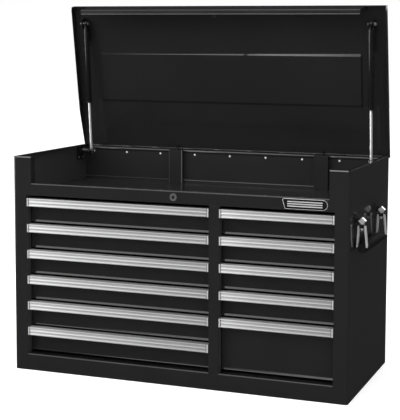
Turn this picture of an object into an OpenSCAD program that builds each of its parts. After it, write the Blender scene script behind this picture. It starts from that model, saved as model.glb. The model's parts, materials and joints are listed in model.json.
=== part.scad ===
// Top tool chest: steel cabinet with eleven drawers, an open till and a gas-strut lid.
// X is the width, -Y is the front, +Z is up. The origin is the middle of the underside.

/* [Cabinet] */
// Width over the side panels
body_w = 1035; // [1000:5:1100]
// Depth from the front frame to the back flanges
body_d = 457; // [440:1:480]
// Height to the top of the side panels
body_h = 645; // [645:1:645]
// Thickness of the cabinet sheet
sheet = 1.2; // [1:0.1:1.5]
// Width of the front posts beside the drawers
post_w = 42.5; // [40:0.5:46]
// Width of the front posts beside the till
till_post_w = 58.5; // [56:0.5:62]
// Centre line of the post between the drawer banks
centre_x = 123; // [110:1:130]
// Width of the centre post
centre_w = 30; // [28:1:34]
// Height of the bottom rail
base_rail_h = 50; // [40:1:52]
// Underside of the top rail
rail_z = 530; // [530:1:530]
// Height of the top rail
rail_h = 36; // [34:1:38]

/* [Drawers] */
// Step from one drawer to the next
pitch = 78; // [78:1:78]
// Top edge of the uppermost drawer
drawer_top = 520.5; // [519:0.5:521]
// Gap between one drawer and the next
drawer_gap = 6.5; // [5:0.5:7.5]
// How far the drawer faces lie behind the front frame
recess = 25; // [23:1:27]
// Height of the flare along the foot of each drawer face
flare_h = 9.5; // [8:0.5:11]
// Height of the aluminium pulls
pull_h = 24; // [23:0.5:26]
// Length of a tray from front to back
tray_d = 406; // [356:2:406]
// Thickness of the tray sheet
tray_sheet = 1; // [0.8:0.1:1.2]

/* [Lid] */
// How far the lid stands open
lid_open = 81; // [60:1:90]
// Gap between the side panels and the lid's walls
lid_gap = 1.8; // [1.2:0.1:2]
// Depth of the lid's side walls
wall_h = 22; // [16:1:26]
// Depth of the lip at the lid's front corners
lip_h = 18; // [12:1:22]
// Width of the stiffener inside the lid
stiffener_w = 872; // [700:1:900]
// Nearest edge of the stiffener to the hinge
stiffener_near = 150; // [140:1:170]
// Farthest edge of the stiffener from the hinge
stiffener_far = 316; // [300:1:340]

/* [Side handles] */
// Middle of the right-hand handle, from the middle of the cabinet's depth
right_handle_y = -50; // [-70:1:60]
// Middle of the left-hand handle, from the middle of the cabinet's depth
left_handle_y = 0; // [-70:1:60]
// Distance between the two arms
handle_span = 230; // [200:5:260]
// Height of the pivots
handle_z = 503; // [480:1:520]
// Diameter of the grip
grip_d = 28; // [26:1:30]

/* [Hidden] */
$fn = 48;
half_w = body_w / 2;
front = -body_d / 2;
back = body_d / 2;
in_x = half_w - sheet;
open_x = half_w - post_w;
till_x = half_w - till_post_w;
rail_top = rail_z + rail_h;
bend = 6;

// Front frame depths: the returns of the posts, and the flange at the back
post_return = 45;
till_return = 24;
back_flange = 18;
back_y = back - sheet;
back_in = back_y - sheet;
till_z = rail_z + sheet;
till_floor_top = till_z + sheet;

// Drawer banks: [left edge, right edge, heights in steps, from the top down]
left_bank = [-open_x, centre_x - centre_w / 2, [1, 1, 1, 1, 1, 1]];
right_bank = [centre_x + centre_w / 2, open_x, [1, 1, 1, 1, 2]];
slide_w = 13;
rail_reach = 8;
rail_height = 35;
runner_height = 24;
face_y = front + recess;
tray_front = face_y + sheet;
tray_back = tray_front + tray_d;
face_gap = 2;
tray_lift = 6;
slide_lift = 30;

// Hinge: the axis lies behind the back panel, just below the lid
hinge_y = back + 2.5;
hinge_z = body_h - 3;
knuckle_r = 3.2;
pin_r = 1.5;
hinge_half = 495;
knuckles = 9;
knuckle_step = 2 * hinge_half / knuckles;
rivets = 9;
rivet_step = 121;
rivet_z = body_h - 22;
rivet_r = 2;
lid_z = body_h + 0.4;
lid_half = half_w + lid_gap + sheet;
lid_front = front - lid_gap - sheet;
lid_back = hinge_y + 5;
drop_x = till_x - 2.5;
drop_bottom = rail_top + 2;

// Lock rods and their covers, one behind the middle of each bank
cover_w = 45;
cover_d = 14;
cover_x = [(left_bank[0] + left_bank[1]) / 2, (right_bank[0] + right_bank[1]) / 2];
cover_top = body_h - 7;
rod_y = back - 7;
rod_top = body_h - 1.6;
rod_travel = 12;

// Lock: the plug turns a cam over the lip of the strike
lock_z = rail_z + rail_h / 2;
strike_y = front + 19;

// Gas struts
strut_x = half_w - 44.5;
strut_u = 409;
strut_drop = 20;
foot_y = back - 43.5;
foot_z = body_h - 18;
stud_r = 4;
top_y = hinge_y - strut_u * cos(lid_open) + (lid_z - hinge_z - strut_drop) * sin(lid_open);
top_z = hinge_z + strut_u * sin(lid_open) + (lid_z - hinge_z - strut_drop) * cos(lid_open);
strut_len = norm([top_y - foot_y, top_z - foot_z]);
strut_lean = atan2(foot_y - top_y, top_z - foot_z);
cylinder_len = 257;

// Side handles, measured outwards from the side panel
pivot_out = 20;
inner_leg = 7;
outer_leg = 34;
leg_t = 4;
leg_w = 12;
grip_drop = 76;
function arm_ys(side) =
    let (y = side < 0 ? left_handle_y : right_handle_y) [y - handle_span / 2, y + handle_span / 2];

cabinet_black = [0.13, 0.13, 0.14];
inside_black = [0.1, 0.1, 0.11];
aluminium = [0.75, 0.76, 0.78];
chrome = [0.85, 0.86, 0.88];
zinc = [0.6, 0.62, 0.64];
grip_black = [0.08, 0.08, 0.08];

// A box given by its lowest and highest corners
module block(low, high) { translate(low) cube(high - low); }

// A prism along X from an outline of [y, z] points
module along_x(x0, x1, outline) {
    translate([x0, 0, 0]) rotate([90, 0, 90]) linear_extrude(x1 - x0) polygon(outline);
}

// A rod along X, and one along Y
module rod_x(x0, x1, y, z, r) { translate([x0, y, z]) rotate([0, 90, 0]) cylinder(r = r, h = x1 - x0); }
module rod_y(y0, y1, x, z, r) { translate([x, y0, z]) rotate([-90, 0, 0]) cylinder(r = r, h = y1 - y0); }

// Points on an arc
function arc(x, y, r, a0, a1, n = 6) =
    [for (i = [0:n]) let (a = a0 + (a1 - a0) * i / n) [x + r * cos(a), y + r * sin(a)]];

// Sum of the first n drawer heights of a bank, in steps
function steps_above(heights, n) = n == 0 ? 0 : heights[n - 1] + steps_above(heights, n - 1);

// Turns what is drawn with the lid shut to where it is with the lid open
module opened() {
    translate([0, hinge_y, hinge_z]) rotate([-lid_open, 0, 0]) translate([0, -hinge_y, -hinge_z])
        children();
}

// Rounds off an outer fold along X at [y, z], where sy and sz point into the metal
module fold_cut(x0, x1, y, z, sy, sz, r = 2.4) {
    translate([0, y, z]) mirror([0, sy < 0 ? 1 : 0, 0]) mirror([0, 0, sz < 0 ? 1 : 0])
        along_x(x0, x1, concat([[-1, r], [-1, -1], [r, -1]], arc(r, r, r, 270, 180, 5)));
}

// Section of a right-hand side panel: front post, rounded corner, side and back flange
module side_section(inner_x, fold_depth) {
    polygon(concat(
        [[inner_x, front + fold_depth], [inner_x, front]],
        arc(half_w - bend, front + bend, bend, 270, 360),
        [[half_w, back], [half_w - back_flange, back], [half_w - back_flange, back - sheet],
         [in_x, back - sheet]],
        arc(half_w - bend, front + bend, bend - sheet, 360, 270),
        [[inner_x + sheet, front + sheet], [inner_x + sheet, front + fold_depth]]));
}

module side_panel() {
    color(cabinet_black) difference() {
        union() {
            linear_extrude(rail_z) side_section(open_x, post_return);
            translate([0, 0, rail_z]) linear_extrude(body_h - rail_z) side_section(till_x, till_return);
            // Cap of the post, and the flange along the top edge
            block([till_x, front + sheet / 2, body_h - sheet], [in_x + sheet / 2, front + till_return, body_h]);
            block([in_x - 12, front + till_return, body_h - sheet], [in_x + sheet / 2, back - sheet / 2, body_h]);
            // Step between the wide and the narrow part of the post
            block([till_x, front + sheet / 2, rail_z], [open_x + sheet, front + till_return, rail_z + sheet]);
        }
        fold_cut(till_x - 1, half_w - bend - 0.1, front, body_h, 1, -1);
    }
}

// Stretches along the back, left and right of the lock rod covers, out to half a width
function between_covers(half) =
    let (reach = cover_w / 2 + 1)
    [[-half, cover_x[0] - reach], [cover_x[0] + reach, cover_x[1] - reach], [cover_x[1] + reach, half]];

module back_panel() {
    reach = in_x - 0.8;
    bead_r = 4;
    bead_z = body_h - 11.5;
    color(inside_black) difference() {
        union() {
            block([-reach, back_in, sheet], [reach, back_y, cover_top + 1]);
            for (run = between_covers(hinge_half))
                intersection() {
                    rod_x(run[0], run[1], back_in, bead_z, bead_r);
                    block([run[0] - 1, back_in - 10, bead_z - 10], [run[1] + 1, back_in + 0.5, bead_z + 10]);
                }
        }
        for (i = [0:rivets - 1])
            rod_y(back_in - 1, back_y + 1, (i - (rivets - 1) / 2) * rivet_step, rivet_z, rivet_r);
    }
}

module base_panel() {
    color(cabinet_black) {
        block([-in_x, front + post_return, 0], [in_x, back_in, sheet]);
        block([-open_x, front + sheet, 0], [open_x, front + post_return, sheet]);
        for (s = [-1, 1])
            block([min(s * in_x, s * (in_x - sheet)), front + post_return, 0],
                  [max(s * in_x, s * (in_x - sheet)), back - 50, 14]);
    }
}

module till_floor() {
    notch_w = 24;
    color(inside_black) difference() {
        union() {
            block([-in_x, front + till_return + 0.5, till_z], [in_x, back_in, till_floor_top]);
            block([-till_x, front + sheet, till_z], [till_x, front + till_return + 0.5, till_floor_top]);
            // Turned-up edges, behind the top rail and along the back
            block([-till_x, front + sheet, till_z], [till_x, front + 2 * sheet, till_z + 12]);
            for (run = between_covers(in_x))
                block([run[0], back_in - sheet, till_z], [run[1], back_in, till_z + 9]);
        }
        for (x = cover_x)
            block([x - notch_w / 2, rod_y - 4, till_z - 1], [x + notch_w / 2, back_in + 1, till_floor_top + 1]);
        rod_y(front, front + 6, 0, lock_z, 12);
    }
}

module top_rail() {
    color(cabinet_black) difference() {
        union() {
            block([-till_x, front, rail_z], [till_x, front + sheet, rail_top]);
            block([-till_x, front, rail_top - sheet], [till_x, front + 22, rail_top]);
            block([-till_x, front + 22 - sheet, rail_top - 8], [till_x, front + 22, rail_top]);
            block([-till_x, front, rail_z], [till_x, front + 22, rail_z + sheet]);
        }
        fold_cut(-till_x - 1, till_x + 1, front, rail_top, 1, -1);
        fold_cut(-till_x - 1, till_x + 1, front + 22, rail_top, -1, -1);
        rod_y(front - 1, front + 2, 0, lock_z, 9.5);
        // Slot that lets the strike drop behind the rail
        block([1, front + 6, rail_top - 10], [18, front + 23, rail_top + 1]);
    }
}

module bottom_rail() {
    color(cabinet_black) difference() {
        union() {
            block([-open_x, front, 0], [open_x, front + sheet, base_rail_h]);
            block([-open_x, front, base_rail_h - sheet], [open_x, front + 40, base_rail_h]);
        }
        fold_cut(-open_x - 1, open_x + 1, front, base_rail_h, 1, -1);
    }
}

module centre_post() {
    color(cabinet_black) {
        x0 = centre_x - centre_w / 2;
        x1 = centre_x + centre_w / 2;
        block([x0, front, base_rail_h], [x1, front + sheet, rail_z]);
        block([x0, front, base_rail_h], [x0 + sheet, front + 28, rail_z]);
        block([x1 - sheet, front, base_rail_h], [x1, front + 28, rail_z]);
    }
}

module centre_partition() {
    color(inside_black) {
        x0 = centre_x - centre_w / 2;
        x1 = centre_x + centre_w / 2;
        y0 = front + 40;
        y1 = back - 15;
        block([x0, y0, sheet], [x0 + sheet, y1, rail_z]);
        block([x1 - sheet, y0, sheet], [x1, y1, rail_z]);
        block([x0, y1 - sheet, sheet], [x1, y1, rail_z]);
    }
}

module rear_uprights() {
    y0 = back - 45;
    y1 = back - 9;
    color(inside_black) for (s = [0, 1]) mirror([s, 0, 0]) {
        block([open_x, y0, sheet], [in_x, y0 + sheet, rail_z]);
        block([open_x, y0, sheet], [open_x + sheet, y1, rail_z]);
        block([in_x - sheet, y0, sheet], [in_x, y1, rail_z]);
    }
}

// Height of the slides of drawer n, counted from 0 at the top
function slide_z(bank, n) = drawer_top - pitch * steps_above(bank[2], n + 1) + drawer_gap + slide_lift;

// Fixed member of a slide on a wall at x, opening towards +X where side is 1
module slide_rail(x, side, z) {
    y0 = face_y + 6;
    y1 = back - 17;
    half = rail_height / 2;
    translate([x, 0, 0]) mirror([side < 0 ? 1 : 0, 0, 0]) {
        block([0, y0, z - half], [sheet, y1, z + half]);
        block([0, y0, z + half - sheet], [rail_reach, y1, z + half]);
        block([0, y0, z - half], [rail_reach, y1, z - half + sheet]);
    }
}

module slide_rails(bank) {
    color(zinc) for (n = [0:len(bank[2]) - 1]) {
        slide_rail(bank[0], 1, slide_z(bank, n));
        slide_rail(bank[1], -1, slide_z(bank, n));
    }
}

module hinge_back_leaf() {
    color(cabinet_black) difference() {
        union() {
            block([-hinge_half, back_y, rivet_z - 8], [hinge_half, back, hinge_z - knuckle_r - 0.4]);
            for (i = [0:2:knuckles - 1])
                block([-hinge_half + i * knuckle_step + 0.5, back_y, rivet_z],
                      [-hinge_half + (i + 1) * knuckle_step - 0.5, back, hinge_z]);
            knuckle_row(0);
        }
        bore_row();
        for (i = [0:rivets - 1])
            rod_y(back_y - 1, back + 1, (i - (rivets - 1) / 2) * rivet_step, rivet_z, rivet_r);
    }
}

// Every second knuckle of the piano hinge, starting with the first or the second one
module knuckle_row(first) {
    for (i = [first:2:knuckles - 1])
        rod_x(-hinge_half + i * knuckle_step + 0.5, -hinge_half + (i + 1) * knuckle_step - 0.5,
              hinge_y, hinge_z, knuckle_r);
}

module bore_row() { rod_x(-hinge_half - 1, hinge_half + 1, hinge_y, hinge_z, pin_r + 0.05); }

module hinge_rivets() {
    head_r = 4;
    color(zinc) for (i = [0:rivets - 1]) {
        x = (i - (rivets - 1) / 2) * rivet_step;
        rod_y(back_in - 0.5, back + 1.5, x, rivet_z, rivet_r - 0.05);
        rod_y(back_in - 1.8, back_in, x, rivet_z, head_r);
    }
}

module strut_brackets() {
    color(cabinet_black) for (s = [0, 1]) mirror([s, 0, 0]) {
        block([in_x - 2.5, foot_y - 22, foot_z - 30], [in_x, foot_y + 22, foot_z + 15]);
        rod_x(strut_x + 10.4, in_x - 2, foot_y, foot_z, 8);
        for (y = [-14, 14]) rod_x(in_x - 4.5, in_x - 2, foot_y + y, foot_z - 22, 4);
    }
}

module lock_rod_covers() {
    color(inside_black) for (x = cover_x) {
        half = cover_w / 2;
        y0 = back_in - cover_d;
        block([x - half, y0, till_floor_top], [x + half, y0 + sheet, cover_top]);
        block([x - half, y0, till_floor_top], [x - half + sheet, back_in, cover_top]);
        block([x + half - sheet, y0, till_floor_top], [x + half, back_in, cover_top]);
    }
}

module lock_housing() {
    color(chrome) difference() {
        union() {
            rod_y(front - 2, front, 0, lock_z, 11);
            rod_y(front - 0.5, front + 8, 0, lock_z, 9.4);
        }
        rod_y(front - 3, front + 9, 0, lock_z, 6.05);
    }
}

module lock_plug() {
    color(chrome) {
        difference() {
            rod_y(front - 1.4, front + 8, 0, lock_z, 6);
            block([-0.8, front - 3, lock_z - 4], [0.8, front + 3, lock_z + 4]);
        }
        rod_y(front + 8, strike_y - 3.8, 0, lock_z, 3);
        block([-3, strike_y - 5.3, lock_z - 14], [3, strike_y - 3.8, lock_z + 3]);
    }
}

module badge_plate() {
    plate_h = 29;
    x0 = 325;
    x1 = 455;
    z0 = lock_z - plate_h / 2;
    color(chrome) translate([0, front, 0]) rotate([90, 0, 0]) linear_extrude(1.4)
        polygon(concat([[x0 + 4, z0 + plate_h], [x0, z0 + plate_h - 4], [x0 + 8, z0]],
                       arc(x1 - plate_h / 2, lock_z, plate_h / 2, -90, 90, 12)));
}

// What is drawn for the right-hand side of the cabinet, from the side panel outwards
module on_side(side) { mirror([side < 0 ? 1 : 0, 0, 0]) translate([half_w, 0, 0]) children(); }

module handle_base_plates() {
    color(cabinet_black) for (side = [-1, 1]) on_side(side)
        for (y = arm_ys(side)) {
            block([0, y - 20, handle_z - 22], [2.5, y + 20, handle_z + 22]);
            // Ear behind the pivot, with the pivot pin through it
            block([2, y + 2, handle_z - 7], [pivot_out, y + 7, handle_z + 7]);
            rod_y(y + 2, y + 7, pivot_out, handle_z, 7);
            rod_y(y - 10, y + 3, pivot_out, handle_z, 4);
            for (z = [-14, 14]) rod_x(2, 4, y, handle_z + z, 4.5);
        }
}

module handle_arm(y) {
    boss_half = 10.5;
    shoulder = -14;
    foot = 3 - grip_drop;
    half_t = leg_t / 2;
    in = inner_leg - pivot_out;
    out = outer_leg - pivot_out;
    bridge_w = 8;
    difference() {
        union() {
            // Pivot boss: a square bar on its corner
            translate([pivot_out, y + 1.7, handle_z]) rotate([90, 0, 0]) linear_extrude(leg_w + 1.7)
                polygon([[-boss_half, 0], [0, -boss_half + 1], [boss_half, 0], [0, boss_half - 1]]);
            // Two splayed legs, and a tongue between them
            translate([pivot_out, y, handle_z]) rotate([90, 0, 0]) linear_extrude(leg_w) {
                polygon([[in - half_t, foot], [in + half_t, foot], [-7.5, shoulder], [-12, shoulder]]);
                polygon([[out - half_t, foot], [out + half_t, foot], [10, shoulder], [6, shoulder]]);
                polygon([[-4, shoulder - 6], [0, shoulder - 14], [4, shoulder - 6]]);
            }
            // Bridge between boss, legs and tongue, set back from their front
            translate([pivot_out, y, handle_z]) rotate([90, 0, 0]) linear_extrude(bridge_w)
                polygon([[-4, -5], [-4, shoulder + 1], [-9, shoulder - 1], [-9, shoulder - 6],
                         [-3, shoulder - 8], [3, shoulder - 8], [8, shoulder - 6], [8, shoulder - 1],
                         [4, shoulder + 1], [4, -5]]);
        }
        rod_y(y - 10.2, y + 2, pivot_out, handle_z, 4.05);
    }
}

module handle_arms(side) {
    color(chrome) on_side(side) for (y = arm_ys(side)) handle_arm(y);
}

module handle_grip(side) {
    out = (inner_leg + outer_leg) / 2;
    z = handle_z - grip_drop;
    y0 = arm_ys(side)[0];
    y1 = arm_ys(side)[1];
    neck_r = (outer_leg - inner_leg - leg_t) / 2;
    color(grip_black) on_side(side) {
        rod_y(y0 + 0.5, y1 - leg_w - 0.5, out, z, grip_d / 2);
        rod_y(y0 - leg_w, y1, out, z, neck_r);
    }
}

module lid_pan() {
    color(cabinet_black) opened() {
        block([-lid_half, lid_front, lid_z], [lid_half, lid_back, lid_z + sheet]);
        block([-lid_half, lid_front, lid_z - lip_h], [lid_half, lid_front + sheet, lid_z + sheet]);
        for (s = [0, 1]) mirror([s, 0, 0])
            along_x(lid_half - sheet, lid_half,
                    [[lid_front, lid_z + sheet], [lid_front, lid_z - lip_h], [lid_front + 10, lid_z - wall_h],
                     [hinge_y - 120, lid_z - wall_h], [hinge_y - 8, lid_z - 6], [lid_back, lid_z - 2],
                     [lid_back, lid_z + sheet]]);
    }
}

module lid_drop_front() {
    y0 = lid_front + sheet;
    r = 4;
    color(cabinet_black) opened() {
        // Sheet with its free edge folded back
        along_x(-drop_x, drop_x, concat(
            [[y0 + 14, drop_bottom]], arc(y0 + r, drop_bottom + r, r, 270, 180),
            [[y0, lid_z], [y0 + sheet, lid_z]], arc(y0 + r, drop_bottom + r, r - sheet, 180, 270),
            [[y0 + 14, drop_bottom + sheet]]));
        for (s = [0, 1]) mirror([s, 0, 0])
            block([drop_x - sheet, y0 + 0.4, drop_bottom + 2], [drop_x, y0 + 12, lid_z]);
    }
}

module lid_stiffener() {
    hat = 5;
    slope = 8;
    y0 = hinge_y - stiffener_far;
    y1 = hinge_y - stiffener_near;
    half = stiffener_w / 2;
    color(cabinet_black) opened() difference() {
        along_x(-half, half, [[y0, lid_z], [y0 + slope, lid_z - hat], [y1 - slope, lid_z - hat], [y1, lid_z]]);
        along_x(-half + sheet, half - sheet,
                [[y0 + 2 * sheet, lid_z + 1], [y0 + slope + sheet, lid_z - hat + sheet],
                 [y1 - slope - sheet, lid_z - hat + sheet], [y1 - 2 * sheet, lid_z + 1]]);
    }
}

module lid_hinge_leaf() {
    leaf_back = hinge_y - 1;
    color(cabinet_black) opened() difference() {
        union() {
            block([-hinge_half, leaf_back - 24, lid_z - sheet], [hinge_half, back_y - 0.4, lid_z]);
            for (i = [1:2:knuckles - 1])
                block([-hinge_half + i * knuckle_step + 0.5, back_y - 1, lid_z - sheet],
                      [-hinge_half + (i + 1) * knuckle_step - 0.5, hinge_y, lid_z]);
            knuckle_row(1);
        }
        bore_row();
    }
}

module hinge_pin() { color(zinc) rod_x(-hinge_half, hinge_half, hinge_y, hinge_z, pin_r); }

module lid_strut_studs() {
    y = hinge_y - strut_u;
    z = lid_z - strut_drop;
    color(chrome) opened() for (s = [0, 1]) mirror([s, 0, 0]) {
        // Plate beside the strut, tapering towards the hinge, with a foot on the lid
        along_x(strut_x + 9.5, strut_x + 11.5,
                [[y - 18, lid_z], [y - 12, z - 9], [y + 10, z - 9], [y + 78, lid_z - 8], [y + 84, lid_z]]);
        block([strut_x + 9.5, y - 18, lid_z - 2], [strut_x + 22, y + 84, lid_z]);
        rod_x(strut_x - 7.5, strut_x + 10, y, z, stud_r);
    }
}

module lid_strike() {
    y0 = lid_front + 2 * sheet;
    color(zinc) opened() {
        block([-16, y0, drop_bottom + 4.2], [16, y0 + sheet, drop_bottom + 22]);
        block([4, y0, drop_bottom + 6], [14, strike_y + sheet, drop_bottom + 6 + sheet]);
        block([4, strike_y, lock_z - 8], [14, strike_y + sheet, drop_bottom + 6 + sheet]);
        block([4, strike_y - 5.5, lock_z - 8], [14, strike_y + sheet, lock_z - 6.5]);
    }
}

module lid_push_tabs() {
    color(zinc) opened() for (x = cover_x)
        block([x - 5, rod_y - 1, rod_top - rod_travel + 0.6], [x + 5, rod_y + 1, lid_z - sheet]);
}

// Places a strut drawn upright with its top stud at the origin, on the left or the right
module strut_place(side) {
    translate([side * strut_x, top_y, top_z]) rotate([strut_lean, 0, 0]) children();
}

module strut_cylinder(side) {
    color(grip_black) strut_place(side) difference() {
        union() {
            translate([0, 0, -cylinder_len]) cylinder(r = 9, h = cylinder_len - 16);
            translate([0, 0, -18]) cylinder(r = 5, h = 14);
            rod_x(-6, 6, 0, 0, 8);
        }
        rod_x(-7, 7, 0, 0, stud_r + 0.05);
        translate([0, 0, -cylinder_len - 1]) cylinder(r = 4.1, h = cylinder_len - 22);
    }
}

module strut_rod(side) {
    stroke_left = 90;
    color(chrome) strut_place(side) {
        translate([0, 0, -strut_len]) cylinder(r = 4, h = strut_len - cylinder_len + stroke_left);
        rod_x(-6, 6, 0, -strut_len, 8);
        // The foot stud is part of the rod, and stops just short of the bracket
        if (side > 0) rod_x(0, 10, 0, -strut_len, stud_r + 1);
        else rod_x(-10, 0, 0, -strut_len, stud_r + 1);
    }
}

module lock_rod(x) {
    color(cabinet_black) block([x - 8, rod_y - 1.5, 40], [x + 8, rod_y + 1.5, rod_top]);
}

// Outline of the flare at the foot of a drawer face, from the top down
function flare(y, z) =
    [for (p = [[0, 9.5], [1.3, 5.5], [3.1, 2], [4.2, 0]]) [y - p[0], z + p[1] * flare_h / 9.5]];

// Edges of drawer n: [foot of the face, top of the face]
function drawer_span(bank, n) =
    [drawer_top - pitch * steps_above(bank[2], n + 1) + drawer_gap,
     drawer_top - pitch * steps_above(bank[2], n)];

module drawer_tray(bank, n) {
    span = drawer_span(bank, n);
    x0 = bank[0] + slide_w;
    x1 = bank[1] - slide_w;
    z0 = span[0] + tray_lift;
    z1 = span[1] - tray_lift;
    color(cabinet_black) {
        // Face with its foot flared forwards
        along_x(bank[0] + face_gap, bank[1] - face_gap, concat(
            [[face_y, span[1]]], flare(face_y, span[0]),
            [for (i = [3:-1:0]) flare(face_y, span[0])[i] + [sheet, 0]], [[tray_front, span[1]]]));
        difference() {
            block([x0, tray_front - sheet / 2, z0], [x1, tray_back, z1]);
            block([x0 + tray_sheet, tray_front, z0 + tray_sheet], [x1 - tray_sheet, tray_back - tray_sheet, z1 + 1]);
        }
    }
    color(zinc) {
        runner(x0 - 0.1, -1, slide_z(bank, n));
        runner(x1 + 0.1, 1, slide_z(bank, n));
    }
}

// Moving member of a slide on a tray wall at x, reaching towards +X where side is 1
module runner(x, side, z) {
    half = runner_height / 2;
    reach = 9.5;
    y0 = tray_front + 6;
    y1 = tray_back - 2;
    translate([x, 0, 0]) mirror([side < 0 ? 1 : 0, 0, 0]) {
        block([0, y0, z - half], [sheet, y1, z + half]);
        block([0, y0, z + half - sheet], [reach, y1, z + half]);
        block([0, y0, z - half], [reach, y1, z - half + sheet]);
    }
}

// Section of a pull as [y, z], with z measured down from its top: a web to the drawer face, a front
// plate with two shallow flutes, and a lip rolled in at the foot
module pull_section() {
    t = 2.2;
    flute = (pull_h - 6.8) / 2;
    sag = 1.2;
    r = (flute * flute / 4 + sag * sag) / (2 * sag);
    a = asin(flute / 2 / r);
    mid1 = -2.8 - flute / 2;
    mid2 = -pull_h + 2.8 + flute / 2;
    polygon(concat(
        [[face_y, 0], [face_y, -16], [face_y - 2, -16], [face_y - 2, -t], [front + 5, -t]],
        [[front + 4.2, -pull_h + 3], [front + 6.5, -pull_h + 3], [front + 6.5, -pull_h]],
        arc(front + 1.5, -pull_h + 1.5, 1.5, 270, 180, 4),
        arc(front + sag - r, mid2, r, -a, a, 6),
        arc(front + sag - r, mid1, r, -a, a, 6),
        arc(front + 1.5, -1.5, 1.5, 180, 90, 4)));
}

module drawer_pull(bank, n) {
    span = drawer_span(bank, n);
    x0 = bank[0] + 1;
    x1 = bank[1] - 1;
    color(aluminium) translate([x0, 0, span[1]]) rotate([90, 0, 90]) linear_extrude(x1 - x0) pull_section();
}

mirror([1, 0, 0]) side_panel();  // side_panel_left
side_panel();  // side_panel_right
back_panel();
base_panel();
till_floor();
top_rail();
bottom_rail();
centre_post();
centre_partition();
rear_uprights();
slide_rails(left_bank);  // slide_rails_left_bank
slide_rails(right_bank);  // slide_rails_right_bank
hinge_back_leaf();
hinge_rivets();
strut_brackets();
lock_rod_covers();
lock_housing();
badge_plate();
handle_base_plates();
lid_pan();
lid_drop_front();
lid_stiffener();
lid_hinge_leaf();
hinge_pin();
lid_strut_studs();
lid_strike();
lid_push_tabs();
strut_cylinder(-1);  // strut_left_cylinder
strut_rod(-1);  // strut_left_rod
strut_cylinder(1);  // strut_right_cylinder
strut_rod(1);  // strut_right_rod
lock_plug();
lock_rod(cover_x[0]);  // lock_rod_left
lock_rod(cover_x[1]);  // lock_rod_right
handle_arms(-1);  // handle_left_arms
handle_grip(-1);  // handle_left_grip
handle_arms(1);  // handle_right_arms
handle_grip(1);  // handle_right_grip
for (i = [1:6]) {
    drawer_tray(left_bank, i - 1);
    drawer_pull(left_bank, i - 1);
}
for (i = [1:5]) {
    drawer_tray(right_bank, i - 1);
    drawer_pull(right_bank, i - 1);
}
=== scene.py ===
import json
import math
import bmesh
import bpy
from mathutils import Matrix, Vector


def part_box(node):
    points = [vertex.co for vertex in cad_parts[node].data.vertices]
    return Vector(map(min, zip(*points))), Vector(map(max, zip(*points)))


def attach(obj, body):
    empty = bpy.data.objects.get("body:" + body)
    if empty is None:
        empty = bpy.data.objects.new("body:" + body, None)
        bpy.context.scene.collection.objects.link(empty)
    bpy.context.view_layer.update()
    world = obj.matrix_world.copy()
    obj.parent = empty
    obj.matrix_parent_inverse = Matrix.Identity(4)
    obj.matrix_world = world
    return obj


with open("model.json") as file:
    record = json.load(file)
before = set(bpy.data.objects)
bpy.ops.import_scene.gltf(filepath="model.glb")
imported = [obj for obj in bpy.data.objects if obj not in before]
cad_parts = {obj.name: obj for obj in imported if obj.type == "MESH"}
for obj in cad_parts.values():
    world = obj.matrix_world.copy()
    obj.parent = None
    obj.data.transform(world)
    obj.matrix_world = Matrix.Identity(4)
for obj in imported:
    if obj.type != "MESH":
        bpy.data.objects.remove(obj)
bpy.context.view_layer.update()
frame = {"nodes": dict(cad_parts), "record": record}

MM = 0.001
NODES = frame["nodes"]


# ---------------------------------------------------------------- materials
class Nodes:
    """A short way to write a node tree."""

    def __init__(self, name):
        self.mat = bpy.data.materials.new(name)
        self.mat.use_nodes = True
        self.tree = self.mat.node_tree
        self.shader = next(n for n in self.tree.nodes if n.type == "BSDF_PRINCIPLED")

    def add(self, kind, **values):
        node = self.tree.nodes.new(kind)
        for key, value in values.items():
            if key in node.inputs:
                node.inputs[key].default_value = value
            else:
                setattr(node, key, value)
        return node

    def join(self, a, b, out=0, into=0):
        self.tree.links.new(a.outputs[out], b.inputs[into])

    def coords(self, stretch=(1, 1, 1)):
        mapping = self.add("ShaderNodeMapping")
        mapping.inputs["Scale"].default_value = stretch
        self.join(self.add("ShaderNodeTexCoord"), mapping, "Object", "Vector")
        return mapping

    def noise(self, scale, stretch=(1, 1, 1), detail=3.0, rough=0.5):
        node = self.add("ShaderNodeTexNoise", Scale=scale, Detail=detail, Roughness=rough)
        self.join(self.coords(stretch), node, 0, "Vector")
        return node

    def spread(self, source, low, high, from_low=0.35, from_high=0.65):
        node = self.add("ShaderNodeMapRange")
        node.inputs["From Min"].default_value = from_low
        node.inputs["From Max"].default_value = from_high
        node.inputs["To Min"].default_value = low
        node.inputs["To Max"].default_value = high
        self.join(source, node, 0, "Value")
        return node

    def colours(self, source, *stops):
        ramp = self.add("ShaderNodeValToRGB")
        while len(ramp.color_ramp.elements) < len(stops):
            ramp.color_ramp.elements.new(0.5)
        for element, (at, rgb) in zip(ramp.color_ramp.elements, stops):
            element.position = at
            element.color = (*rgb, 1)
        self.join(source, ramp, 0, "Fac")
        return ramp

    def bump(self, source, strength, distance):
        node = self.add("ShaderNodeBump", Strength=strength, Distance=distance)
        self.join(source, node, 0, "Height")
        self.join(node, self.shader, 0, "Normal")

    def set(self, **values):
        """Sets the shader's own sockets; an underscore stands for a space."""
        for key, value in values.items():
            self.shader.inputs[key.replace("_", " ")].default_value = value


def paint(name, dark, light, rough, specular, peel):
    """A painted or moulded surface. peel is the strength of its fine bump."""
    m = Nodes(name)
    m.set(Metallic=0.0, Specular_IOR_Level=specular)
    m.join(m.colours(m.noise(7, detail=4), (0.3, dark), (0.7, light)), m.shader, 0, "Base Color")
    m.join(m.spread(m.noise(16, detail=5), *rough), m.shader, 0, "Roughness")
    m.bump(m.noise(260, detail=2), peel, 0.0004)
    return m.mat


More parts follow.
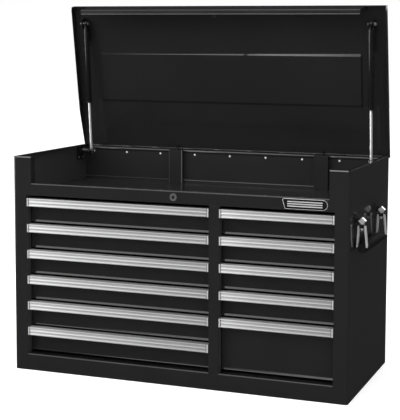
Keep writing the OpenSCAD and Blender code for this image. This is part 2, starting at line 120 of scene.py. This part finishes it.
def brushed(name, dark, light, rough, stretch, anisotropic=0.0, metal=1.0, painted_falloff=None):
    """A brushed or plated metal. The optional ramp darkens it from the left end of the piece to the right
    end: painted shade for light that falls off away from the lamp on the left.
    """
    m = Nodes(name)
    m.set(Metallic=metal, Anisotropic=anisotropic)
    streaks = m.noise(60, stretch, detail=6, rough=0.7)
    colour = m.colours(streaks, (0.3, dark), (0.7, light))
    if painted_falloff:
        along = m.add("ShaderNodeSeparateXYZ")
        m.join(m.add("ShaderNodeTexCoord"), along, "Generated", 0)
        falloff_shade = m.colours(along, *((at, grey(v)) for at, v in painted_falloff))
        blend = m.add("ShaderNodeMix", data_type="RGBA", blend_type="MULTIPLY")
        blend.inputs["Factor"].default_value = 1
        m.tree.links.new(colour.outputs["Color"], blend.inputs["A"])
        m.tree.links.new(falloff_shade.outputs["Color"], blend.inputs["B"])
        m.tree.links.new(blend.outputs["Result"], m.shader.inputs["Base Color"])
    else:
        m.join(colour, m.shader, 0, "Base Color")
    m.join(m.spread(m.noise(45, stretch, detail=6), *rough), m.shader, 0, "Roughness")
    m.bump(streaks, 0.08, 0.0002)
    return m.mat


def grey(v):
    return (v, v, v)


BLACK = paint("black_paint", grey(0.0120), grey(0.0138), (0.06, 0.10), 0.5, 0.04)
SATIN = paint("satin_paint", grey(0.0120), grey(0.0138), (0.35, 0.45), 0.5, 0.04)
# Paler than black_paint: painted light that lifts the shaded inside of the till. It also gives the dim
# painted highlights on the right cover's folds.
INSIDE_PAINTED_LIGHT = paint("inside_paint", grey(0.018), grey(0.021), (0.14, 0.22), 0.5, 0.08)
# A grey much paler than black_paint: painted light that lifts shaded recesses, and dim painted highlights on
# folds.
PAINTED_LIGHT_GREY = paint("painted_light_grey", grey(0.040), grey(0.046), (0.3, 0.4), 0.5, 0.05)
# Pale grey on fold lines: painted highlights where the folds catch the lamps.
PAINTED_HIGHLIGHT = paint("painted_highlight_paint", grey(0.11), grey(0.13), (0.3, 0.4), 0.5, 0.05)
STRUT = paint("strut_paint", grey(0.006), grey(0.008), (0.24, 0.30), 0.5, 0.03)
# The pulls darken towards their right ends: painted shade for light that falls off away from the lamp on the
# left.
PULL = brushed("pull_aluminium", grey(0.62), grey(0.77), (0.34, 0.46), (0.05, 6, 6), 0.3, 0.55,
               painted_falloff=((0.0, 1.0), (0.3, 0.80), (1.0, 0.58)))
CAP = brushed("cap_aluminium", grey(0.50), grey(0.60), (0.22, 0.32), (4, 4, 4), metal=0.35)
CHROME = brushed("chrome", grey(0.80), grey(0.90), (0.08, 0.16), (1, 1, 1), metal=0.6)
ZINC = brushed("zinc_steel", grey(0.20), grey(0.28), (0.28, 0.42), (3, 3, 3), metal=0.6)
# Near-white and hardly metal: painted glints on the rivet heads.
GLINT_WHITE = brushed("rivet_painted_glint", grey(0.88), grey(0.94), (0.20, 0.30), (3, 3, 3), metal=0.1)
LOCK = brushed("lock_plating", grey(0.13), grey(0.17), (0.25, 0.35), (3, 3, 3), metal=0.6)
GRIP = paint("grip_vinyl", grey(0.006), grey(0.010), (0.55, 0.68), 0.2, 0.3)
# Near-black: the dark seams beside the pull end caps, and painted shade for the keyway's hollow on the lock.
SEAM_AND_SHADE = paint("seam_and_shade_black", grey(0.002), grey(0.003), (0.6, 0.8), 0.2, 0.2)
LACQUER = paint("badge_lacquer", grey(0.006), grey(0.008), (0.12, 0.2), 0.4, 0.02)
# The look of each material slot in the record. The other looks are for single nodes and pieces.
SLOTS = {
    "black_paint": BLACK, "inside_paint": INSIDE_PAINTED_LIGHT, "strut_paint": STRUT, "pull_aluminium": PULL,
    "chrome": CHROME, "zinc_steel": ZINC, "grip_vinyl": GRIP,
}
slot_of = {row["node"]: row["material_slot"] for row in frame["record"]["subparts"]}

# ---------------------------------------------------------------- CAD nodes: material and softened edges
WELD_DISTANCE = 0.00001
# Widths of the softened edges in mm, by slot
EDGE = {"black_paint": 0.7, "inside_paint": 0.5, "chrome": 0.7, "pull_aluminium": 0.35, "zinc_steel": 0.25,
        "strut_paint": 0.6, "grip_vinyl": 2.5}


def soften(obj, width, segments=2, angle=35):
    weld = obj.modifiers.new("weld", "WELD")
    weld.merge_threshold = WELD_DISTANCE
    bevel = obj.modifiers.new("bevel", "BEVEL")
    bevel.width = width * MM
    bevel.segments = segments
    bevel.limit_method = "ANGLE"
    bevel.angle_limit = math.radians(angle)
    bevel.use_clamp_overlap = True
    bevel.harden_normals = True


# Nodes that differ from the rest of their slot
OWN_EDGE = {"lid_stiffener": 0.35}
OWN_LOOK = {"lock_housing": LOCK, "lock_plug": LOCK, "lid_drop_front": SATIN, "lid_strike": BLACK}

for name, obj in NODES.items():
    mat = OWN_LOOK.get(name, SLOTS[slot_of[name]])
    if not obj.material_slots:
        obj.data.materials.append(mat)
    for holder in obj.material_slots:
        holder.link = "OBJECT"
        holder.material = mat
    soften(obj, OWN_EDGE.get(name, EDGE[slot_of[name]]))


# ---------------------------------------------------------------- small pieces
def piece(name, body, mat, build, bevel=0.0):
    bm = bmesh.new()
    build(bm)
    mesh = bpy.data.meshes.new(name)
    bm.to_mesh(mesh)
    bm.free()
    mesh.materials.append(mat)
    obj = bpy.data.objects.new(name, mesh)
    bpy.context.scene.collection.objects.link(obj)
    if bevel:
        soften(obj, bevel)
    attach(obj, body)


def block(bm, low, high):
    """A box from its lowest to its highest corner, in metres."""
    low, high = Vector(low), Vector(high)
    made = bmesh.ops.create_cube(bm, size=1)["verts"]
    bmesh.ops.scale(bm, vec=high - low, verts=made)
    bmesh.ops.translate(bm, vec=(low + high) / 2, verts=made)


def spin(bm, profile, centre, axis, steps=32):
    """A turned solid: profile is (radius, height) in mm along the axis, closed where the radius is 0."""
    z = Vector(axis).normalized()
    x = z.orthogonal().normalized()
    y = z.cross(x)
    rings = []
    for radius, height in profile:
        at = Vector(centre) + z * height * MM
        if radius == 0:
            rings.append([bm.verts.new(at)])
            continue
        turns = [2 * math.pi * i / steps for i in range(steps)]
        rings.append([bm.verts.new(at + (x * math.cos(a) + y * math.sin(a)) * radius * MM) for a in turns])
    for low, high in zip(rings, rings[1:]):
        for i in range(steps):
            j = (i + 1) % steps
            corners = [low[i % len(low)], low[j % len(low)], high[j % len(high)], high[i % len(high)]]
            bm.faces.new(list(dict.fromkeys(corners)))
    bmesh.ops.recalc_face_normals(bm, faces=bm.faces[:])


def turned(name, body, mat, rows, steps=32):
    """A piece of turned solids, one for each (profile in mm, centre, axis)."""
    def build(bm):
        for profile, centre, axis in rows:
            spin(bm, profile, centre, axis, steps)

    piece(name, body, mat, build)


def rod(radius, length, start, axis):
    """A row for turned(): a plain round bar, its radius and length in mm."""
    return ([(0, 0), (radius, 0), (radius, length), (0, length)], start, axis)


def pull_ends(name):
    """Bright end caps on a pull, each with a dark seam beside it."""
    low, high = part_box(name)
    body = name.removesuffix("_pull")
    out, cap, seam, depth = 0.3 * MM, 5 * MM, 1.2 * MM, 3 * MM

    def caps(bm):
        for x0, x1 in ((low.x, low.x + cap), (high.x - cap, high.x)):
            block(bm, (x0, low.y - out, low.z - out), (x1, low.y + depth, high.z + out))

    def seams(bm):
        for x0, x1 in ((low.x + cap, low.x + cap + seam), (high.x - cap - seam, high.x - cap)):
            block(bm, (x0, low.y - out / 2, low.z - out / 2), (x1, low.y + depth, high.z + out / 2))

    piece(name + "_end_caps", body, CAP, caps, 0.8)
    piece(name + "_end_seams", body, SEAM_AND_SHADE, seams)


for name in NODES:
    if name.endswith("_pull"):
        pull_ends(name)


def recess_skins():
    """Paler skins on the returns of the posts, beside the drawer faces: painted light that lifts these shaded
    recesses.
    """
    depth, setback, thick = 24 * MM, 1.5 * MM, 0.15 * MM
    low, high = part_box("bottom_rail")
    post_low, post_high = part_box("centre_post")
    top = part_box("top_rail")[0].z

    def build(bm):
        for x0, x1 in ((low.x, low.x + thick), (post_low.x - thick, post_low.x),
                       (post_high.x, post_high.x + thick), (high.x - thick, high.x)):
            block(bm, (x0, low.y + setback, high.z), (x1, low.y + depth, top))

    piece("recess_side_skins", "cabinet", PAINTED_LIGHT_GREY, build)


recess_skins()


def till_skins():
    """Paler skins on the inner faces of the side panels, above the till's floor: painted light in the shaded
    till.
    """
    low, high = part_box("side_panel_right")
    sheet, clear, thick = 1.2 * MM, 1.4 * MM, 0.2 * MM
    inner = high.x - sheet
    front, back = low.y + 8 * MM, high.y - 2 * MM
    base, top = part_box("till_floor")[0].z + clear, high.z - clear

    def build(bm):
        for x0, x1 in ((inner - thick, inner), (-inner, thick - inner)):
            block(bm, (x0, front, base), (x1, back, top))

    piece("till_side_skins", "cabinet", PAINTED_LIGHT_GREY, build)


def badge():
    """A plain plate: dark lacquer inside the bright rim, with three slim bars."""
    low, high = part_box("badge_plate")
    mid = (low.z + high.z) / 2
    rim = 1.3 * MM
    radius = (high.z - low.z) / 2 - rim
    end = high.x - rim - radius
    back, front = low.y + 0.2 * MM, low.y - 0.25 * MM
    steps, pitch, half_bar = 16, 6.2 * MM, 1.7 * MM

    def lacquer(bm):
        outline = [(low.x + 8 * MM + rim, mid - radius), (low.x + rim + 0.8 * MM, mid + radius - 3 * MM),
                   (low.x + 4 * MM + rim * 0.6, mid + radius)]
        outline += [(end + radius * math.sin(a), mid + radius * math.cos(a))
                    for a in (math.pi * i / steps for i in range(steps + 1))]
        face = bm.faces.new([bm.verts.new((x, back, z)) for x, z in outline])
        solid = bmesh.ops.extrude_face_region(bm, geom=[face])["geom"]
        moved = [v for v in solid if isinstance(v, bmesh.types.BMVert)]
        bmesh.ops.translate(bm, vec=(0, front - back, 0), verts=moved)
        bmesh.ops.recalc_face_normals(bm, faces=bm.faces[:])

    def bars(bm):
        for i in (-1, 0, 1):
            z = mid + i * pitch
            block(bm, (low.x + 15 * MM, front - 0.2 * MM, z - half_bar),
                  (end, front + 0.1 * MM, z + half_bar))

    piece("badge_lacquer", "cabinet", LACQUER, lacquer)
    piece("badge_bars", "cabinet", CHROME, bars)


def lock_face():
    """Near-black disc on the front of the plug: painted shade standing in for the keyway's hollow."""
    low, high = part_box("lock_housing")
    centre = Vector((0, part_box("lock_plug")[0].y, low.z / 2 + high.z / 2))
    profile = [(0, 0.3), (4.2, 0.3), (4.2, -0.3), (0, -0.3)]
    turned("lock_key_face", "lock", SEAM_AND_SHADE, [(profile, centre, (0, 1, 0))])


COVER_WIDTH = 45 * MM  # of one lock rod cover


def cover_edges():
    """Rounded folds along the front edges of the lock rod covers, in paler paints: painted highlights,
    brightest on the left cover's right fold and dim on the right cover.
    """
    low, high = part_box("lock_rod_covers")
    radius, inset = 1.6, 0.8 * MM
    length = (high.z - low.z) / MM - 0.5
    xs = [low.x + inset, low.x + COVER_WIDTH - inset, high.x - COVER_WIDTH + inset, high.x - inset]
    for i, (x, mat) in enumerate(zip(xs, (PAINTED_LIGHT_GREY, PAINTED_HIGHLIGHT, INSIDE_PAINTED_LIGHT, INSIDE_PAINTED_LIGHT))):
        rows = [rod(radius, length, (x, low.y + inset, low.z + 0.3 * MM), (0, 0, 1))]
        turned(f"cover_fold_{i + 1}", "cabinet", mat, rows, 16)


def strut_trim(side):
    """Collar at the mouth of the cylinder, boot over the foot, ends of the lid's stud, bracket screws."""
    low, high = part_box(f"strut_{side}_rod")
    near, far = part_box(f"strut_{side}_cylinder")
    x = (near.x + far.x) / 2
    out = math.copysign(1, x)
    eye, stud_to_mouth = 8 * MM, 257 * MM
    foot = Vector((x, high.y - eye, low.z + eye))
    head = Vector((x, near.y + eye, far.z - eye))
    lean = (head - foot).normalized()
    mouth = head - lean * stud_to_mouth
    boot = [(0, -6.4), (7.2, -6.4), (8.5, -5.2), (8.5, 5.2), (7.2, 6.4), (0, 6.4)]
    sleeve = [(0, 6), (5.5, 6), (5.5, 10.2), (0, 10.2)]
    rows = [(boot, foot, (1, 0, 0)), (sleeve, foot, (out, 0, 0))]
    turned(f"strut_{side}_foot_boot", f"{side}_strut_rod", STRUT, rows)
    ring = [(4.3, -1.0), (8.2, -1.0), (9.3, 0.4), (9.3, 5.0), (9.0, 5.2)]
    turned(f"strut_{side}_collar", f"{side}_strut_cylinder", STRUT, [(ring, mouth, lean)])
    nut = [(0, 11.4), (5.6, 11.4), (5.6, 15), (4.4, 16.4), (2.6, 16.4), (2.6, 18.4), (0, 18.6)]
    tip = [(0, 7.0), (4.6, 7.0), (4.6, 8.0), (3.2, 9.4), (0, 9.9)]
    rows = [(nut, head, (out, 0, 0)), (tip, head, (-out, 0, 0))]
    turned(f"strut_{side}_stud_ends", "lid", ZINC, rows, 12)
    plate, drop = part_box("strut_brackets")[1].x - 4.5 * MM, 22 * MM
    screw = [(0, -0.5), (3.4, -0.5), (3.4, 0.5), (2.4, 1.5), (0, 1.9)]
    rows = [(screw, Vector((out * plate, foot.y + dy * MM, foot.z - drop)), (-out, 0, 0)) for dy in (-14, 14)]
    turned(f"strut_{side}_bracket_screws", "cabinet", ZINC, rows, 16)


def handle_trim(side):
    """Dark vinyl bushes in front of the bridges of the arms, partly painted shade that darkens the gap
    between the legs, where shade falls; and the screws of the base plates.
    """
    low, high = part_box(f"handle_{side}_arms")
    plate_low, plate_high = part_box("handle_base_plates")
    out = 1 if side == "right" else -1
    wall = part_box("side_panel_right")[1].x
    pivot_out, arm_width = 20 * MM, 13.7 * MM
    pivot = Vector((out * (wall + pivot_out), 0, (plate_low.z + plate_high.z) / 2))
    arms = (low.y, high.y - arm_width)
    x0, x1 = sorted((pivot.x - out * 7.2 * MM, pivot.x + out * 5.8 * MM))
    z0, z1 = pivot.z - 19.6 * MM, pivot.z - 9.6 * MM

    def shade_bushes(bm):
        for y in arms:
            block(bm, (x0, y - 1.4 * MM, z0), (x1, y + 4.4 * MM, z1))

    piece(f"handle_{side}_bushes", f"{side}_handle", GRIP, shade_bushes, 0.8)
    head, screw_in = [(0, 3.6), (3.6, 3.6), (3.6, 4.4), (2.6, 5.2), (0, 5.4)], 12 * MM
    rows = [(head, Vector((out * wall, y + screw_in, pivot.z + dz * MM)), (out, 0, 0))
            for y in arms for dz in (-14, 14)]
    turned(f"handle_{side}_screws", "cabinet", BLACK, rows, 16)


def front_folds():
    """Paler paint on the folds along the tops of the front posts and of the two front rails: painted
    highlights where the folds catch the lamps.
    """
    low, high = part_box("side_panel_right")
    rail_low, rail_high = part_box("top_rail")
    base_low, base_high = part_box("bottom_rail")
    post_low, post_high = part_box("centre_post")
    radius, inset, gap = 2.5, 2.4 * MM, 0.3 * MM
    edge = high.x - 6.2 * MM

    def fold(x0, x1, z):
        return rod(radius, (x1 - x0) / MM, (x0, low.y + inset, z - inset), (1, 0, 0))

    caps = [fold(rail_high.x + gap, edge, high.z), fold(-edge, rail_low.x - gap, high.z)]
    turned("post_cap_folds", "cabinet", PAINTED_HIGHLIGHT, caps)
    rail = [fold(rail_low.x + gap, rail_high.x - gap, rail_high.z)]
    turned("rail_top_fold", "cabinet", PAINTED_LIGHT_GREY, rail)
    base = [fold(base_low.x + gap, post_low.x - gap, base_high.z),
            fold(post_high.x + gap, base_high.x - gap, base_high.z)]
    turned("base_rail_fold", "cabinet", PAINTED_LIGHT_GREY, base)


def till_folds():
    """Paler folds along the back of the till, beside and between the covers: at its floor and top bead. These
    are painted highlights, dimmer on the left run of the floor fold.
    """
    cover_low, cover_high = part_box("lock_rod_covers")
    radius, gap = 1.2, 1 * MM
    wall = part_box("side_panel_right")[1].x - 3 * MM
    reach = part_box("hinge_pin")[1].x
    head_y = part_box("hinge_rivets")[0].y
    floor_fold, bead_drop = 8.4 * MM, 9 * MM
    floor_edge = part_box("till_floor")[0].z + floor_fold
    bead_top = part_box("side_panel_right")[1].z - bead_drop
    for name, end, y, z in (("till_rear_fold", wall, head_y + 0.6 * MM, floor_edge),
                            ("till_top_fold", reach, head_y - 1.2 * MM, bead_top)):
        runs = ((-end, cover_low.x - gap),
                (cover_low.x + COVER_WIDTH + gap, cover_high.x - COVER_WIDTH - gap),
                (cover_high.x + gap, end))
        rows = [rod(radius, (x1 - x0) / MM, (x0, y, z), (1, 0, 0)) for x0, x1 in runs]
        left_mat = PAINTED_LIGHT_GREY if name == "till_rear_fold" else PAINTED_HIGHLIGHT
        turned(name + "_left", "cabinet", left_mat, rows[:1], 16)
        turned(name, "cabinet", PAINTED_HIGHLIGHT, rows[1:], 16)


def lip_fold():
    """Paler free edge of the lid's folded drop front, a painted highlight, placed from the hinge pin with the
    lid open at tilt.
    """
    low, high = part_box("lid_drop_front")
    pin_low, pin_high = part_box("hinge_pin")
    back, down, tilt = 447.3 * MM, 74 * MM, math.radians(81)
    y = (pin_low.y + pin_high.y) / 2 - back * math.cos(tilt) - down * math.sin(tilt)
    z = (pin_low.z + pin_high.z) / 2 + back * math.sin(tilt) - down * math.cos(tilt)
    radius, gap = 0.9, 1
    length = (high.x - low.x) / MM - 2 * gap
    rows = [rod(radius, length, (low.x + gap * MM, y, z), (1, 0, 0))]
    turned("lid_lip_fold", "lid", PAINTED_HIGHLIGHT, rows, 16)


def rivet_domes():
    """Domed heads on the rivets along the back of the till, in near-white: painted glints."""
    low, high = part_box("hinge_rivets")
    head_r, count = 4, 9
    dome = [(0, -0.2), (3.0, -0.2), (2.8, 0.6), (2.0, 1.3), (1.0, 1.6), (0, 1.7)]
    first, last = low.x + head_r * MM, high.x - head_r * MM
    rows = [(dome, (first + (last - first) * i / (count - 1), low.y, (low.z + high.z) / 2), (0, -1, 0))
            for i in range(count)]
    turned("rivet_domes", "cabinet", GLINT_WHITE, rows, 20)


def side_folds():
    """Rounded folds along the top edges of the side panels."""
    low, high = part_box("side_panel_right")
    radius, inset, gap = 1.25, 1.0 * MM, 7
    length = (high.y - low.y) / MM - 2 * gap
    rows = [rod(radius, length, (x, low.y + gap * MM, high.z - inset), (0, 1, 0))
            for x in (high.x - inset, inset - high.x)]
    turned("side_top_folds", "cabinet", BLACK, rows, 24)


till_skins()
badge()
lock_face()
cover_edges()
side_folds()
front_folds()
till_folds()
lip_fold()
rivet_domes()
for side in ("left", "right"):
    strut_trim(side)
    handle_trim(side)


# ---------------------------------------------------------------- stage, lights, camera
# Strengths: world light on surfaces, world and floor in reflections, the floor's own glow
AMBIENT, ROOM, FLOOR_SHEEN, FLOOR_GLOW = 0.95, 0.02, 0.03, 0.35
# Longer side of the frame in pixels, and the sensor's width in mm
FRAME_PX, SENSOR = 420, 36


def by_ray(tree, seen, diffuse, glossy):
    """Mixes three shaders: for what the camera sees, for what lights surfaces, and for reflections."""
    path = tree.nodes.new("ShaderNodeLightPath")
    inner = tree.nodes.new("ShaderNodeMixShader")
    outer = tree.nodes.new("ShaderNodeMixShader")
    tree.links.new(path.outputs["Is Glossy Ray"], inner.inputs[0])
    tree.links.new(diffuse.outputs[0], inner.inputs[1])
    tree.links.new(glossy.outputs[0], inner.inputs[2])
    tree.links.new(path.outputs["Is Camera Ray"], outer.inputs[0])
    tree.links.new(inner.outputs[0], outer.inputs[1])
    tree.links.new(seen.outputs[0], outer.inputs[2])
    return outer


def even(tree, kind, strength):
    """A plain white background or emission shader."""
    node = tree.nodes.new(kind)
    node.inputs["Color"].default_value = (1, 1, 1, 1)
    node.inputs["Strength"].default_value = strength
    return node


def studio():
    """White to the camera, soft light on surfaces, and almost dark in reflections."""
    world = bpy.data.worlds.new("studio")
    world.use_nodes = True
    tree = world.node_tree
    output = next(n for n in tree.nodes if n.type == "OUTPUT_WORLD")
    kind = "ShaderNodeBackground"
    mix = by_ray(tree, even(tree, kind, 1.0), even(tree, kind, AMBIENT), even(tree, kind, ROOM))
    tree.links.new(mix.outputs[0], output.inputs["Surface"])
    bpy.context.scene.world = world


def floor():
    """A pale floor that glows a little, with a faint sheen in reflections."""
    mesh = bpy.data.meshes.new("floor")
    half = 14
    corners = [(-half, -half, 0), (half, -half, 0), (half, half, 0), (-half, half, 0)]
    mesh.from_pydata(corners, [], [(0, 1, 2, 3)])
    obj = bpy.data.objects.new("floor", mesh)
    bpy.context.scene.collection.objects.link(obj)
    m = Nodes("floor_white")
    m.set(Metallic=0.0, Specular_IOR_Level=0.1, Roughness=0.7)
    m.join(m.colours(m.noise(0.8), (0.3, grey(0.93)), (0.7, grey(0.95))), m.shader, 0, "Base Color")
    output = next(n for n in m.tree.nodes if n.type == "OUTPUT_MATERIAL")
    glow = m.tree.nodes.new("ShaderNodeAddShader")
    m.join(m.shader, glow, 0, 0)
    m.join(even(m.tree, "ShaderNodeEmission", FLOOR_GLOW), glow, 0, 1)
    mix = by_ray(m.tree, glow, m.shader, even(m.tree, "ShaderNodeEmission", FLOOR_SHEEN))
    m.tree.links.new(mix.outputs[0], output.inputs["Surface"])
    mesh.materials.append(m.mat)


def light(name, place, target, size, power):
    data = bpy.data.lights.new(name, "AREA")
    data.shape = "RECTANGLE"
    data.size, data.size_y = size
    data.energy = power
    obj = bpy.data.objects.new(name, data)
    obj.location = place
    obj.rotation_mode = "QUATERNION"
    obj.rotation_quaternion = (Vector(target) - Vector(place)).to_track_quat("-Z", "Y")
    bpy.context.scene.collection.objects.link(obj)


def camera(place, yaw, pitch, roll, focal, shift):
    """Angles in degrees, focal length and shift in pixels of the frame's longer side."""
    data = bpy.data.cameras.new("camera")
    obj = bpy.data.objects.new("camera", data)
    yaw, pitch, roll = (math.radians(a) for a in (yaw, pitch, roll))
    ahead = Vector((math.sin(yaw) * math.cos(pitch), math.cos(yaw) * math.cos(pitch), -math.sin(pitch)))
    right = ahead.cross(Vector((0, 0, 1))).normalized()
    up = right.cross(ahead)
    right, up = (math.cos(roll) * right + math.sin(roll) * up,
                 math.cos(roll) * up - math.sin(roll) * right)
    obj.matrix_world = Matrix.Translation(place) @ Matrix((right, up, -ahead)).transposed().to_4x4()
    data.sensor_fit = "AUTO"
    data.sensor_width = SENSOR
    data.lens = focal * SENSOR / FRAME_PX
    data.shift_x, data.shift_y = shift[0] / FRAME_PX, shift[1] / FRAME_PX
    data.clip_start, data.clip_end = 0.05, 60
    bpy.context.scene.collection.objects.link(obj)
    bpy.context.scene.camera = obj


studio()
floor()
light("top", (0.2, -0.4, 3.6), (0, 0.3, 0.2), (3.4, 3.4), 60)
light("left", (-5.5, -4.6, 1.9), (0, -0.2, 0.3), (2.2, 4.0), 185)
light("front_top", (-0.8, -3.0, 3.1), (0.1, -0.2, 0.45), (3.6, 1.5), 44)
light("back_right", (1.25, 4.0, 1.5), (0.5, 0.0, 0.65), (1.1, 0.6), 4)
bpy.context.scene.view_settings.view_transform = "Standard"
camera((1.297, -3.2182, 0.9884), -19.1416, 5.3453, 0.4177, 1154.97, (-60, -60))
